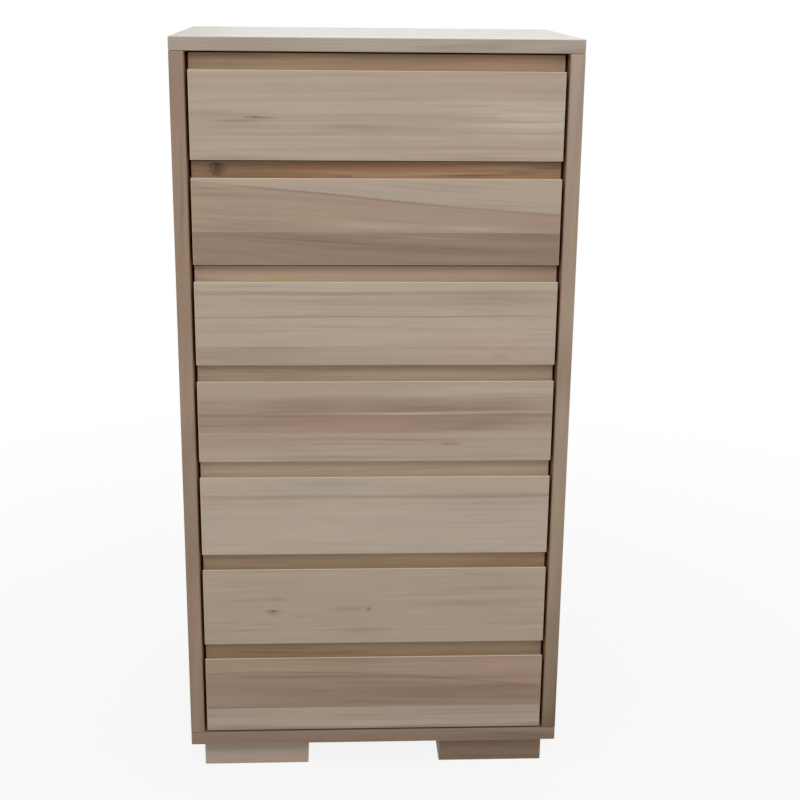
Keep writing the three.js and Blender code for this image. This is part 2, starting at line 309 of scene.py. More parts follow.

    # Sawn ends drink the light, and an arris shows a little paler, partly as sanding wear and partly as a
    # painted highlight
    arris_wear_and_highlight = finish.rise(facing_along.larger(facing_across).larger(facing_through), 0.985, 0.86)
    colour = finish.mix(end * 0.5, colour, sawn_tone)
    colour = finish.mix(arris_wear_and_highlight * sanding_and_highlight, colour, highlight_and_wear_tone)
    # The faces shut in the chest take a warm tone painted for the light and shade within the gaps
    if inside:
        outer, inner, tone = inside
        gap_light_tint = finish.rise(through, outer, inner) * finish.rise(facing_through, 0.9, 0.99)
        colour = finish.mix(gap_light_tint * 0.8, colour, shade(*tone))
    # Beside an open joint the arrises are darker: dust in the joint and painted shade
    for measure, plane, reach, amount in joint_dust_and_shade:
        place = (along, across, through)[measure]
        turned_away = finish.rise((facing_along, facing_across, facing_through)[measure], 0.95, 0.8)
        close = finish.rise(abs(place - plane), reach, reach * 0.45)
        colour = finish.mix(close * turned_away * amount, colour, dark)
    # The long edges are paler still: a painted highlight where the light catches a face's upper land
    if edge_highlight:
        colour = finish.mix(finish.rise(facing_across, 0.9, 0.99) * edge_highlight, colour, highlight_and_wear_tone)
    light = (streak - 0.5) * busy * (-0.15 * streaks) + (fibre - 0.5) * -0.1 + (cloud - 0.5) * 0.14 + 1.0
    colour = finish.scaled(colour, light)
    roughness = (streak - 0.5) * 0.12 + (late * -0.04 + matt)
    height = fibre * 0.5 + streak * 0.3 + late * 0.25
    if joints:
        height = height - seam * 0.6
    return finish.surface(colour, roughness, height, relief / mm)


join_reach = 0.00001
flat_within = math.radians(0.6)
arris_from = math.radians(33)
crease_from = math.radians(40)
softness = 0.0005


def joined_up(node):
    """A copy of a CAD node's mesh, to work on, with its loose triangles joined up into flat faces."""
    work = bmesh.new()
    work.from_mesh(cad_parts[node].data)
    bmesh.ops.remove_doubles(work, verts=work.verts[:], dist=join_reach)
    bmesh.ops.dissolve_limit(work, angle_limit=flat_within, verts=work.verts[:], edges=work.edges[:])
    return work


def finished_mesh(work, name):
    """The mesh that the work comes to, under its own name."""
    mesh = bpy.data.meshes.new(name)
    work.to_mesh(mesh)
    work.free()
    return mesh


def placed(name, data):
    """An object that holds this data, put into the scene."""
    held = bpy.data.objects.new(name, data)
    bpy.context.scene.collection.objects.link(held)
    return held


def piece_from(mesh, name, soften=0.0, facets=2):
    """An object from a mesh. soften is the radius of the last touch of sandpaper on its arrises."""
    if "custom_normal" in mesh.attributes:
        mesh.attributes.remove(mesh.attributes["custom_normal"])
    mesh.materials.clear()
    mesh.shade_smooth()
    piece = placed(name, mesh)
    if soften:
        bevel = piece.modifiers.new("softened arrises", "BEVEL")
        bevel.width = soften
        bevel.segments = facets
        bevel.limit_method = "ANGLE"
        bevel.angle_limit = arris_from
    else:
        mesh.set_sharp_from_angle(angle=crease_from)
    even = piece.modifiers.new("flat faces", "WEIGHTED_NORMAL")
    even.keep_sharp = True
    return piece


def worked_copy(node, name, soften=0.0):
    """A piece that stands in the place of a CAD node, with the same shape."""
    return piece_from(finished_mesh(joined_up(node), name), name, soften)


def fit_piece(piece, material, body, slot, *nodes):
    """Gives a piece its finish, and puts it in the place of CAD nodes on a body."""
    piece.data.materials.append(material)
    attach(piece, body)
    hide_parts(*nodes)


bottom_tones = [(135, 114, 97), (116, 96, 79), (137, 111, 94), (128, 112, 91), (89, 69, 52)]
bottom_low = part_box("bottom_panel")[0] * mm
bottom_thickness = 22
bottom_timber = timber(
    "bottom_board_timber", "XYZ", (0, bottom_low.y, bottom_low.z), (70, 95), bottom_tones, ring=4.2,
    # Its upper arrises are darker where the sides and the drawers stand on it: dust and painted shade
    seed=3.0, streaks=1.5, joint_dust_and_shade=[(2, bottom_thickness, 1.1, 0.85)],
    joints=[
        (98, 98, 120, bottom_tones[0], 0.4),
        (203, 203, 60, bottom_tones[1], 0.4),
        (301, 301, 130, bottom_tones[0], 0.3),
    ],
)
bottom_board = worked_copy("bottom_panel", "bottom_board", softness)
fit_piece(bottom_board, bottom_timber, "case", "case_timber", "bottom_panel")


# Feet: four low blocks of solid hardwood under the bottom board, set in from its edges, and held by
# glue and by screws from inside the case, which stay out of sight. The front left one is the palest,
# and the front right one is darker and browner.

foot_tones = {
    "front_left": [(183, 165, 149), (168, 149, 133), (178, 155, 140), (174, 159, 140), (129, 108, 93)],
    "front_right": [(133, 109, 88), (115, 91, 71), (133, 105, 85), (123, 103, 79), (84, 62, 45)],
    "rear_left": [(150, 132, 115), (132, 113, 96), (146, 122, 108), (142, 128, 108), (98, 80, 66)],
    "rear_right": [(156, 140, 123), (138, 120, 103), (150, 128, 114), (146, 134, 114), (104, 86, 70)],
}
for order, (place, tones) in enumerate(foot_tones.items()):
    low, high = [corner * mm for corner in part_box(f"foot_{place}")]
    centre = (low + high) / 2
    block_timber = timber(
        f"foot_{place}_timber", "XZY", (centre.x, 0, low.y), (30 - 12 * order, 60 + 11 * order), tones,
        ring=4.6, seed=21.0 + order,
    )
    block = worked_copy(f"foot_{place}", f"foot_block_{place}", softness)
    fit_piece(block, block_timber, "case", "foot_timber", f"foot_{place}")


# Sides: two tall boards glued up from four staves, with the grain standing upright. Tongues on
# their ends are glued into grooves in the bottom and top boards. The left board is the darker one.

side_tones = {
    "left": [(149, 126, 107), (131, 107, 88), (145, 116, 99), (137, 121, 97), (95, 72, 55)],
    "right": [(163, 143, 123), (141, 118, 100), (156, 130, 112), (155, 140, 115), (103, 79, 61)],
}
# Each board's shut-in face takes a tone painted for the warm light and shade in the gaps beside it
side_marks = {
    "left": dict(seed=31.0, inside=(21.0, 21.9, (190, 118, 66)), patches=[
        (480, 0, 90, 60, (132, 109, 94), 0.5),
        (232, 0, 60, 70, (140, 122, 92), 0.6),
        (40, 0, 55, 60, (164, 139, 120), 0.5),
        (-350, 0, 60, 60, (146, 117, 106), 0.6),
    ]),
    "right": dict(seed=37.0, inside=(1.0, 0.1, (142, 94, 62)), patches=[
        (470, 0, 110, 60, (160, 140, 129), 0.5),
        (144, 0, 50, 60, (166, 149, 130), 0.5),
        (66, 0, 35, 60, (145, 124, 100), 0.5),
        (-15, 0, 45, 60, (172, 152, 130), 0.6),
        (-330, 0, 110, 80, (140, 118, 98), 0.5),
        # The last two patches darken the board's front edge towards the floor
        (-560, 0, 170, 90, (82, 60, 22), 1.0),
        (-550, 0, 45, 90, (70, 50, 14), 0.8),
    ]),
}
inner_face = {"left": 22, "right": 0}
for hand, tones in side_tones.items():
    low, high = [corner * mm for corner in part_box(f"{hand}_side")]
    half = (high.z - low.z) / 2
    side_timber = timber(
        f"{hand}_side_timber", "ZYX", (low.z + half, low.y, low.x), (45, 110), tones, ring=4.8,
        sway=9.0, lean=(0.01, 0.03), sanding_and_highlight=0.1, **side_marks[hand],
        # The end arrises darken at the joints with the top and bottom boards, dust and painted shade, and
        # the inner front arris is painted darker: painted shade in the gap beside the drawers
        joint_dust_and_shade=[(0, half, 1.1, 0.7), (0, -half, 1.1, 0.35), (2, inner_face[hand], 2.0, 0.6)],
        joints=[
            (102, 102, 110, tones[0], 0.35),
            (196, 196, 80, tones[1], 0.35),
            (304, 304, 120, tones[2], 0.3),
        ],
    )
    side_board = worked_copy(f"{hand}_side", f"{hand}_side_board", softness)
    fit_piece(side_board, side_timber, "case", "case_timber", f"{hand}_side")


# Runners: a hardwood batten on each side for each drawer, round at its front end, and held to the
# case's side by three countersunk screws. The drawer's groove slides on it.

drawer_numbers = range(1, 8)
screw_facets = 24
head_depth = 0.28
recess_length = 0.54
recess_width = 0.13
recess_depth = 0.18
sunk = 0.0002
hole_clearance = 0.00005
hole_overrun = 0.001
runner_head = 0.007
front_screw_in = 0.022
rear_screw_in = 0.026


def screw_steel():
    """Zinc-plated steel, a little uneven."""
    finish = Finish("zinc_plated_steel")
    x, y, z = finish.measures("XYZ")
    blotches = finish.noise(x / 1.6, y / 1.6, z / 1.6, 3.0)
    grit = finish.noise(x / 0.15, y / 0.15, z / 0.15, 2.0)
    colour = finish.mix(finish.rise(blotches, 0.35, 0.65), shade(206, 203, 196), shade(170, 166, 156))
    return finish.surface(colour, blotches * 0.3 + 0.2, grit, 0.00003, metallic=1.0)


def screw_tree(steel):
    """Sets a countersunk screw head with a cross recess at each point, facing the way that the
    point says and turned by chance. The shank is out of sight in the wood, and isn't made."""
    group = bpy.data.node_groups.new("countersunk_screws", "GeometryNodeTree")
    group.interface.new_socket("Geometry", in_out="INPUT", socket_type="NodeSocketGeometry")
    for name in ("Head width", "Head depth", "Recess length", "Recess width", "Recess depth"):
        group.interface.new_socket(name, in_out="INPUT", socket_type="NodeSocketFloat")
    group.interface.new_socket("Seed", in_out="INPUT", socket_type="NodeSocketInt")
    group.interface.new_socket("Geometry", in_out="OUTPUT", socket_type="NodeSocketGeometry")
    nodes = Workings(group)
    points, width, depth, slot_length, slot_width, slot_depth, seed = nodes.node(
        "NodeGroupInput", {}, {}, tuple(range(7))
    )
    taper = {"Radius Top": width / 2, "Radius Bottom": width / 2 - depth, "Depth": depth}
    head = nodes.node(
        "GeometryNodeMeshCone", {"fill_type": "NGON"}, {"Vertices": screw_facets, **taper}, "Mesh"
    )
    down = nodes.node("ShaderNodeCombineXYZ", {}, {"Z": depth * -1.0})
    head = nodes.node("GeometryNodeTransform", {}, {"Geometry": head, "Translation": down})
    for across, along in ((slot_length, slot_width), (slot_width, slot_length)):
        size = nodes.node("ShaderNodeCombineXYZ", {}, {"X": across, "Y": along, "Z": slot_depth * 2.0})
        slot = nodes.node("GeometryNodeMeshCube", {}, {"Size": size}, "Mesh")
        cut = {"Mesh 1": head, "Mesh 2": slot}
        head = nodes.node("GeometryNodeMeshBoolean", {"operation": "DIFFERENCE"}, cut, "Mesh")
    facing = nodes.node(
        "GeometryNodeInputNamedAttribute", {"data_type": "FLOAT_VECTOR"}, {"Name": "facing"}, "Attribute"
    )
    upright = nodes.node("FunctionNodeAlignRotationToVector", {"axis": "Z"}, {"Vector": facing}, "Rotation")
    chance = nodes.node(
        "FunctionNodeRandomValue", {"data_type": "FLOAT"}, {2: 0.0, 3: math.pi / 2, "Seed": seed}, 1
    )
    turning = {"Axis": (0, 0, 1), "Angle": chance}
    twist = nodes.node("FunctionNodeAxisAngleToRotation", {}, turning, "Rotation")
    turned = nodes.node(
        "FunctionNodeRotateRotation", {"rotation_space": "LOCAL"}, {"Rotation": upright, "Rotate By": twist}
    )
    placing = {"Points": points, "Instance": head, "Rotation": turned}
    heads = nodes.node("GeometryNodeInstanceOnPoints", {}, placing, "Instances")
    real = nodes.node("GeometryNodeRealizeInstances", {}, {"Geometry": heads})
    plated = nodes.node("GeometryNodeSetMaterial", {}, {"Geometry": real, "Material": steel})
    nodes.node("NodeGroupOutput", {}, {"Geometry": plated})
    return group


def drive_screws(name, screws, head_width, seed, body):
    """One piece that holds all the screws of a set, just below the surface that they face out of."""
    mesh = bpy.data.meshes.new(name)
    heads = [Vector(place) - Vector(facing) * sunk for place, facing in screws]
    mesh.from_pydata(heads, [], [])
    facings = mesh.attributes.new("facing", "FLOAT_VECTOR", "POINT")
    for each, (_, facing) in zip(facings.data, screws):
        each.vector = facing
    piece = placed(name, mesh)
    setting = piece.modifiers.new("screws", "NODES")
    setting.node_group = countersunk_screws
    sizes = {
        "Head width": head_width,
        "Head depth": head_width * head_depth,
        "Recess length": head_width * recess_length,
        "Recess width": head_width * recess_width,
        "Recess depth": head_width * recess_depth,
        "Seed": seed,
    }
    for socket in countersunk_screws.interface.items_tree:
        if socket.name in sizes:
            setting[socket.identifier] = sizes[socket.name]
    seen = piece.evaluated_get(bpy.context.evaluated_depsgraph_get())
    piece.data = bpy.data.meshes.new_from_object(seen)
    piece.modifiers.clear()
    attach(piece, body)


def with_countersinks(mesh, screws, head_width):
    """The mesh with a conical hole cut for each screw's head, a little wider than the head."""
    work = bmesh.new()
    deep = head_width * head_depth + sunk + hole_clearance
    mouth = head_width / 2 + sunk + hole_clearance
    for place, facing in screws:
        upright = Vector(facing).to_track_quat("Z", "Y").to_matrix().to_4x4()
        middle = Vector(place) + Vector(facing) * ((hole_overrun - deep) / 2)
        bmesh.ops.create_cone(
            work, cap_ends=True, segments=screw_facets, radius1=mouth - deep, radius2=mouth + hole_overrun,
            depth=deep + hole_overrun, matrix=Matrix.Translation(middle) @ upright,
        )
    bit = placed("countersinks", finished_mesh(work, "countersinks"))
    board = placed("board", mesh)
    cut = board.modifiers.new("countersinks", "BOOLEAN")
    cut.operation = "DIFFERENCE"
    cut.solver = "EXACT"
    cut.object = bit
    seen = board.evaluated_get(bpy.context.evaluated_depsgraph_get())
    holed = bpy.data.meshes.new_from_object(seen)
    for each in (bit, board):
        bpy.data.objects.remove(each)
    return holed


steel = screw_steel()
countersunk_screws = screw_tree(steel)
runner_tones = [(186, 154, 118), (164, 130, 96), (176, 138, 108), (170, 148, 112), (118, 88, 62)]
runner_timber = timber(
    "runner_timber", "YZX", (0, 0, 0), (-90, 400), runner_tones, ring=3.4, seed=61.0, sway=3.0,
    lean=(0.02, 0.01),
)
runner_screws = []
for count in drawer_numbers:
    for hand, inward in (("left", 1), ("right", -1)):
        node = f"runner_{count}_{hand}"
        low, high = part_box(node)
        inner = high.x if inward > 0 else low.x
        level = (low.z + high.z) / 2
        held_at = (low.y + front_screw_in, (low.y + high.y) / 2, high.y - rear_screw_in)
        screws = [((inner, y, level), (inward, 0, 0)) for y in held_at]
        runner_screws += screws
        name = f"runner_bar_{count}_{hand}"
        bar = with_countersinks(finished_mesh(joined_up(node), name), screws, runner_head)
        runner = piece_from(bar, name)
        fit_piece(runner, runner_timber, "case", "runner_timber", node)
drive_screws("runner_screws", runner_screws, runner_head, seed=3, body="case")


# Top board: the palest board of the case, glued up from four staves with the grain across the
# chest, and let on to the sides' tongues.

top_tones = [(161, 150, 137), (144, 131, 117), (155, 138, 125), (149, 142, 126), (110, 94, 79)]
top_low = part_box("top_panel")[0] * mm
top_timber = timber(
    "top_board_timber", "XYZ", (0, top_low.y, top_low.z), (-20, 120), top_tones, ring=5.2, seed=44.0,
    # Its lower arrises are darker over the sides and the drawers, dust and painted shade, and its shut-in
    # underside takes a tone painted for the warm light and shade in the gaps
    lean=(0.02, 0.06), matt=0.3, relief=0.004, inside=(1.0, 0.1, (172, 118, 76)), joint_dust_and_shade=[(2, 0, 1.1, 0.4)],
    joints=[
        (96, 96, 110, top_tones[1], 0.35),
        (200, 200, 70, top_tones[0], 0.4),
        (298, 298, 130, top_tones[1], 0.3),
    ],
)
top_board = worked_copy("top_panel", "top_board", softness)
fit_piece(top_board, top_timber, "case", "case_timber", "top_panel")


# Back panel: one sheet of thin plywood with its face grain upright, which lies in the rebates of
# all four boards and closes the case. It is held by small countersunk screws round its edges.

plies = 5
glue_tone = shade(88, 66, 48)


def plywood(name, axes, start, thickness, tones, seed):
    """Plywood whose face grain runs along the first axis, and whose plies show on the edges."""
    finish = Finish(name)
    pale, deep, dark = tones
    along, across, through = finish.measures(axes, start)
    (facing_through,) = finish.facings(axes[2])
    slow = finish.noise(along / 520.0, across / 110.0, seed, 1.0)
    bent = across + (slow - 0.5) * 30.0
    figure = finish.noise(along / 1200.0, bent / 16.0, seed, 2.0)
    peel = finish.noise(along / 420.0, bent / 3.6, seed, 2.0)
    fibre = finish.noise(along / 18.0, bent / 0.5, through / 0.5 + seed, 2.0)
    colour = finish.mix(finish.rise(figure, 0.34, 0.66) * 0.7, pale, deep)
    colour = finish.mix(finish.rise(peel, 0.52, 0.76) * 0.35, colour, dark)
    layer = through / (thickness / plies)
    ply = (layer * 0.5 + 0.05).fraction().over(0.5)
    glue = finish.rise(abs((layer + 0.5).fraction() - 0.5), 0.1, 0.02)
    edge = finish.rise(facing_through, 0.7, 0.3)
    colour = finish.mix(edge * ply * 0.5, colour, dark)
    colour = finish.mix(edge * glue * 0.5, colour, glue_tone)
    colour = finish.scaled(colour, 1.0 - (fibre - 0.5) * 0.2)
    return finish.surface(colour, (fibre - 0.5) * 0.2 + 0.66, fibre, 0.00015)


ply_tones = [shade(196, 176, 146), shade(176, 152, 122), shade(140, 114, 88)]
back_thickness = 8
back_middle = 600
back_head = 0.0056
edge_inset = 0.005
corner_inset = 0.03
upright_gaps = 6
level_gaps = 4
low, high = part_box("back_panel")
back_ply = plywood(
    "back_panel_plywood", "ZXY", (back_middle, 0, low.y * mm), back_thickness, ply_tones, seed=5.0
)
screwed_height = high.z - low.z - 2 * corner_inset
upright_steps = range(upright_gaps + 1)
upright_run = [low.z + corner_inset + screwed_height * step / upright_gaps for step in upright_steps]
level_run = [low.x + (high.x - low.x) * step / level_gaps for step in range(1, level_gaps)]
screw_places = [(x, z) for x in (low.x + edge_inset, high.x - edge_inset) for z in upright_run]
screw_places += [(x, z) for z in (low.z + edge_inset, high.z - edge_inset) for x in level_run]
back_screws = [((x, high.y, z), (0, 1, 0)) for x, z in screw_places]
back_mesh = finished_mesh(joined_up("back_panel"), "back_sheet")
back_sheet = piece_from(with_countersinks(back_mesh, back_screws, back_head), "back_sheet")
fit_piece(back_sheet, back_ply, "case", "plywood", "back_panel")
drive_screws("back_screws", back_screws, back_head, seed=8, body="case")


# Drawer boxes: sides and back of a plainer, yellower timber, and a plywood bottom in a groove. The
# sides run the full length, with dovetails at both ends and a groove outside for the runner, and
# their upper arrises are rounded over.

box_tones = [(196, 178, 150), (178, 156, 127), (188, 162, 135), (182, 170, 140), (142, 116, 90)]
box_side_timber = timber(
    "drawer_side_timber", "YZX", (0, 0, 0), (-60, 520), box_tones, ring=4.4, seed=71.0,
    lean=(0.015, 0.02),
)
box_back_timber = timber(
    "drawer_back_timber", "XZY", (0, 0, 0), (-80, 300), box_tones, ring=4.4, seed=77.0,
    lean=(0.01, 0.02),
)
drawer_bottom_thickness = 6
drawer_bottom_ply = plywood(
    "drawer_bottom_plywood", "XYZ", (0, 0, 0), drawer_bottom_thickness, ply_tones, seed=9.0
)
for count in drawer_numbers:
    body = f"drawer_{count}"
    for hand in ("left", "right"):
        box_side = worked_copy(f"{body}_{hand}_side", f"{body}_box_{hand}")
        fit_piece(box_side, box_side_timber, body, "box_timber", f"{body}_{hand}_side")
    box_back = worked_copy(f"{body}_back", f"{body}_box_rear")
    fit_piece(box_back, box_back_timber, body, "box_timber", f"{body}_back")
    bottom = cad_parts[f"{body}_bottom"]
    bottom.data.materials.clear()
    bottom.data.materials.append(drawer_bottom_ply)


# Drawer fronts: a flat face board glued to a taller backing board, whose upper part shows as a
# set-back strip. The face's upper edge is cut back to a thin land, so that fingers can hook
# behind it. Each face is its own board or pair of boards, with its own figure.

face_height = 0.129
face_thickness = 0.016
pull_land = 0.003
face_arris = 0.0009
arris_facets = 3
glue_gap = 0.00003

face_figure = {
    1: dict(
        tones=[(172, 155, 138), (159, 142, 124), (169, 147, 130), (164, 152, 132), (111, 92, 76)],
        pith=(58, 150), lean=(0.01, 0.03), seed=1.0, streaks=0.55,
        stripes=[
            ((119, 123, 125), 2.5, 6, (171, 145, 127), 0.6),
            ((33, 33, 34), 0.5, 1.5, (177, 161, 145), 0.5),
            ((47, 46, 44), 1.5, 5, (145, 126, 108), 0.3),
        ],
        patches=[
            (-180, 96, 120, 22, (165, 151, 130), 0.5),
            (180, 108, 110, 20, (173, 150, 135), 0.5),
            (200, 16, 160, 15, (167, 145, 130), 0.6),
            (-220, 62, 46, 7, (154, 138, 120), 0.6),
            (-204, 55.5, 26, 1.8, (124, 107, 90), 0.8),
            (-187, 61, 9, 1.2, (112, 95, 80), 0.8),
            (-163, 59.5, 15, 1.3, (116, 99, 84), 0.8),
            (-25, 47, 55, 4, (127, 109, 93), 0.5),
            (135, 66, 60, 5, (137, 119, 103), 0.45),
            (90, 52, 150, 10, (149, 131, 114), 0.4),
            (-120, 24, 90, 12, (172, 149, 134), 0.4),
            (215, 60, 100, 22, (190, 175, 158), 0.8),
            (-235, 56, 60, 20, (157, 140, 122), 0.5),
            (-215, 3, 70, 5, (138, 120, 102), 0.6),
        ],
        knots=[(-178, 59.5, 14, 3.5, 6.0, 0.9, 0.0)],
    ),
    2: dict(
        tones=[(140, 118, 99), (128, 106, 89), (146, 120, 102), (140, 121, 99), (97, 75, 58)],
        pith=(30, 120), lean=(-0.06, 0.03), seed=2.0, band=0.8, drift=0.7,
        joints=[(49, 48, 40, (161, 139, 119), 0.9)],
        edges=[((124, 97.5, 74.5), 1.4, (169, 153, 135), 0.9, 0.45)],
        stripes=[((96, 82, 62), 5, 12, (160, 137, 120), 0.5)],
        patches=[
            (-240, 119, 60, 6, (172, 148, 131), 0.6),
            (-165, 127, 70, 4, (182, 156, 136), 0.7),
            (147, 55, 60, 5, (178, 159, 142), 0.6),
            (110, 78, 90, 8, (166, 140, 123), 0.6),
            (8, 58, 70, 5, (178, 159, 139), 0.7),
            (-60, 52, 70, 4, (164, 133, 116), 0.6),
            (70, 43, 60, 3.5, (158, 127, 111), 0.7),
            (-200, 26, 90, 18, (146, 127, 107), 0.6),
            (20, 27, 120, 5, (116, 95, 79), 0.45),
            (190, 22, 110, 5, (116, 95, 79), 0.4),
            (130, 9, 120, 4, (152, 128, 112), 0.6),
            (200, 33, 70, 3, (154, 130, 114), 0.5),
        ],
    ),
    3: dict(
        tones=[(172, 153, 137), (161, 143, 127), (174, 151, 135), (164, 148, 128), (116, 96, 78)],
        pith=(20, 160), lean=(0.0, 0.02), seed=3.0, band=0.8, streaks=0.65,
        joints=[(29, 28.5, 60, (176, 160, 142), 0.8)],
        edges=[((114, 114, 116), 1.6, (177, 161, 142), 0.6, 0.3)],
        stripes=[
            ((110, 111, 112), 0.6, 2.5, (124, 105, 89), 0.4),
            ((74, 75, 76), 0.4, 2, (124, 105, 89), 0.45),
            ((98, 99, 101), 3, 8, (155, 135, 117), 0.35),
        ],
        patches=[
            (-195, 58, 60, 16, (167, 155, 134), 0.6),
            (170, 100, 90, 12, (149, 131, 113), 0.7),
            (-170, 24, 60, 3, (132, 111, 97), 0.55),
            (-200, 14, 100, 12, (153, 133, 118), 0.7),
            (220, 36, 90, 6, (175, 149, 133), 0.6),
            (190, 14, 9, 3, (136, 116, 101), 0.6),
        ],
    ),
    4: dict(
        tones=[(171, 152, 134), (160, 141, 123), (172, 147, 130), (162, 146, 124), (114, 93, 75)],
        pith=(66, 110), lean=(0.0, 0.02), seed=4.0, band=0.7, drift=0.7,
        stripes=[
            ((84, 84, 90), 14, 12, (143, 120, 102), 0.85),
            ((66, 66, 66), 10, 12, (147, 124, 106), 0.75),
            ((61, 62, 62), 0.5, 2, (120, 99, 82), 0.45),
        ],
        patches=[
            (110, 79.5, 190, 1.5, (195, 174, 152), 1.0),
            (-35, 59, 125, 10, (162, 129, 112), 0.9),
            (70, 38, 50, 5, (162, 132, 116), 0.5),
            (150, 66, 110, 6, (142, 121, 103), 0.6),
            (116, 30, 14, 3.5, (128, 108, 91), 0.75),
            (-250, 25, 30, 18, (172, 142, 126), 0.6),
            (60, 116, 260, 10, (170, 152, 132), 0.5),
            (210, 112, 120, 14, (186, 168, 150), 0.7),
            (-205, 36, 90, 15, (156, 134, 116), 0.7),
        ],
    ),
    5: dict(
        tones=[(178, 162, 145), (168, 150, 134), (178, 156, 141), (170, 158, 140), (120, 100, 83)],
        pith=(10, 170), lean=(0.0, 0.02), seed=5.0, band=0.6, streaks=0.5,
        edges=[((98, 96, 97), 2.0, (171, 157, 137), 0.4, 0.4)],
        stripes=[((95, 96, 98), 1.5, 5, (151, 131, 113), 0.5)],
        patches=[
            (-60, 108, 120, 9, (167, 158, 144), 0.7),
            (-150, 48, 60, 8, (182, 156, 142), 0.5),
            (60, 44, 120, 8, (180, 157, 142), 0.4),
            (190, 100, 110, 5, (145, 125, 108), 0.45),
            (-230, 105, 50, 8, (178, 151, 135), 0.5),
        ],
    ),
    6: dict(
        tones=[(171, 153, 134), (158, 139, 120), (169, 146, 129), (163, 150, 129), (113, 92, 75)],
        pith=(52, 90), lean=(0.01, 0.05), seed=6.0, band=0.6, streaks=0.6,
        patches=[
            (-200, 60, 90, 40, (171, 149, 132), 0.5),
            (-175, 127, 80, 4, (150, 126, 106), 0.6),
            (-42, 59, 26, 4, (127, 108, 91), 0.6),
            (-154, 76, 14, 3, (140, 120, 104), 0.6),
            (-20, 20, 36, 5, (146, 126, 110), 0.5),
            (115, 84, 60, 4, (144, 123, 106), 0.55),
            (190, 92, 80, 3, (142, 121, 104), 0.5),
            (180, 66, 90, 4, (144, 123, 106), 0.4),
        ],
        knots=[(-163, 54, 24, 5, 5.0, 1.3, 0.06), (-10, 57.5, 26, 6, 1.7, 0.8, 0.05)],
    ),
    7: dict(
        tones=[(172, 155, 139), (162, 144, 128), (170, 148, 133), (164, 151, 133), (111, 90, 72)],
        pith=(90, 130), lean=(-0.02, 0.02), seed=7.0, band=0.6, drift=0.5,
        joints=[(40, 40, 50, (140, 117, 97), 0.9)],
        edges=[((101.5, 100.5, 71.5), 2.0, (159, 136, 115), 0.8, 0.4)],
        stripes=[
            ((70, 70, 64), 8, 10, (135, 113, 94), 0.6),
            ((118, 116, 112), 3, 8, (164, 138, 117), 0.5),
            # This stripe darkens the face along its bottom edge, over the gap to the bottom board
            ((1, 1, 2), 1.5, 5, (120, 102, 86), 0.6),
        ],
        patches=[
            (-90, 96, 150, 3, (115, 93, 75), 0.5),
            (235, 92, 70, 12, (156, 122, 104), 0.6),
            (120, 108, 130, 10, (172, 143, 126), 0.6),
            (-180, 110, 90, 6, (168, 146, 123), 0.5),
            (20, 28, 60, 8, (160, 148, 127), 0.6),
            (-220, 8, 60, 4, (133, 114, 96), 0.5),
            (-238, 66, 60, 13, (158, 136, 118), 0.7),
            (195, 35, 110, 7, (144, 125, 108), 0.6),
        ],
    ),
}
strip_tones = {
    1: [(161, 136, 105), (142, 115, 87), (168, 132, 105), (151, 132, 97), (102, 76, 54)],
    2: [(160, 125, 91), (140, 106, 75), (167, 123, 91), (144, 115, 81), (80, 50, 18)],
    3: [(185, 162, 139), (168, 144, 121), (185, 154, 134), (172, 155, 124), (120, 96, 75)],
    4: [(182, 161, 138), (166, 143, 120), (176, 150, 129), (171, 154, 125), (122, 98, 77)],
    5: [(193, 172, 149), (177, 156, 133), (189, 163, 140), (178, 163, 132), (132, 109, 86)],
    6: [(176, 151, 124), (157, 132, 107), (175, 144, 120), (161, 142, 112), (111, 87, 66)],
    7: [(169, 146, 118), (151, 126, 100), (167, 137, 112), (159, 141, 108), (107, 84, 63)],
}
